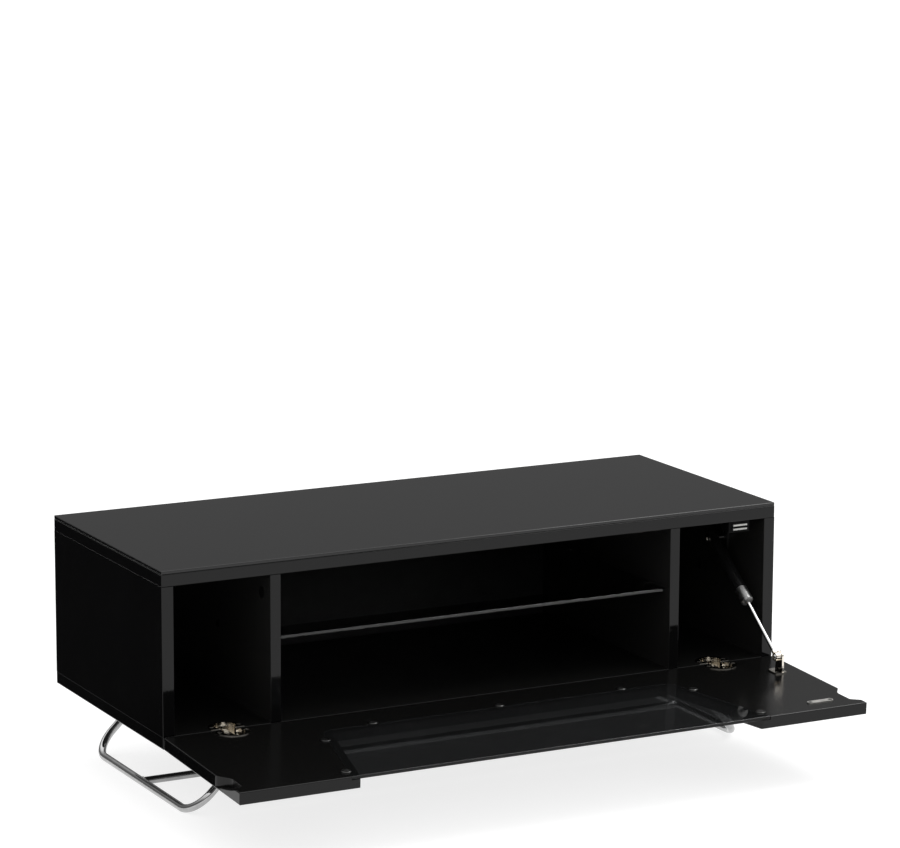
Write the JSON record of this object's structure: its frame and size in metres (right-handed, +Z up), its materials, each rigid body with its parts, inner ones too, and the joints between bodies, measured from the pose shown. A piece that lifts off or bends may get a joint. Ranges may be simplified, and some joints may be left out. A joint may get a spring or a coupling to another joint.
{
  "type": "media cabinet",
  "caption": "Low black media cabinet on chrome hoop legs, with a glass top and shelf, and a drop-down door with a glass window held open by a sliding stay.",
  "frame": {"origin": "on the floor, under the centre of the cabinet's footprint with its door open", "axes": "+X to the right along the cabinet's width, -Y out of the front where the door drops, +Z up"},
  "size_m": [1, 0.658, 0.364],
  "materials": {
    "black_board": "satin black lacquer",
    "back_board": "matt black film",
    "black_glass": "polished, back-painted black",
    "smoked_glass": "polished, smoked grey",
    "chrome": "polished",
    "nickel": "nickel plated, satin",
    "steel": "zinc plated",
    "beech": "plain",
    "black_plastic": "moulded",
    "magnet": "ferrite",
    "dark_metal": "semi-gloss black",
    "grey_metal": "satin"
  },
  "bodies": {
    "cabinet": {"top_glass": "black_glass", "top_panel": "black_board", "bottom_panel": "black_board", "side_panel_left": "black_board", "side_panel_right": "black_board", "divider_left": "black_board", "divider_right": "black_board", "back_panel": "back_board", "glass_shelf": "smoked_glass", "shelf_pins": "nickel", "dowels": "beech", "panel_screws": "steel", "cam_locks": "steel", "cam_bolts": "steel", "cover_caps": "black_plastic", "hinge_base_left": "nickel", "hinge_base_right": "nickel", "hinge_base_screws": "steel", "catch_body": "black_plastic", "catch_pole_plates": "nickel", "catch_magnet": "magnet", "catch_screws": "steel", "stay_top_bracket": "dark_metal", "stay_top_pin": "chrome", "stay_pin_clip": "nickel", "stay_bracket_screws": "steel", "leg_left": "chrome", "leg_right": "chrome", "leg_cross_bar": "chrome", "leg_plates": "chrome", "leg_screws": "steel"},
    "door": {"door_panel": "black_board", "door_glass": "smoked_glass", "glass_clips": "dark_metal", "glass_clip_screws": "steel", "hinge_cup_left": "nickel", "hinge_cup_right": "nickel", "hinge_cup_screws": "steel", "hinge_pins": "steel", "strike_plate": "nickel", "strike_screws": "steel", "stay_foot_bracket": "nickel", "stay_foot_screws": "steel", "stay_foot_rivet": "chrome"},
    "stay_cylinder": {"stay_tube": "dark_metal", "stay_tube_plug": "dark_metal", "stay_gland": "grey_metal"},
    "stay_plunger": {"stay_rod": "chrome", "stay_piston": "black_plastic", "stay_rod_eye": "nickel", "stay_foot_pin": "chrome"}
  },
  "joints": [
    {"name": "door", "type": "hinge", "parent": "cabinet", "child": "door", "pos_m": [0, -0.08364, 0.1178], "axis": [-1, 0, 0], "range_deg": [0, 92.35]},
    {"name": "stay_swing", "type": "hinge", "parent": "cabinet", "child": "stay_cylinder", "pos_m": [0.459, 0.03596, 0.292], "axis": [1, 0, 0], "range_deg": [0, 14.1]},
    {"name": "stay_slide", "type": "slide", "parent": "stay_cylinder", "child": "stay_plunger", "axis": [0, 0.7892, 0.6141], "range_m": [0, 0.09369]}
  ],
  "couplings": [
    {"joint": "stay_swing", "follows": "door", "ratio": 0.1526},
    {"joint": "stay_slide", "follows": "door", "m_per_rad": 0.058095}
  ]
}
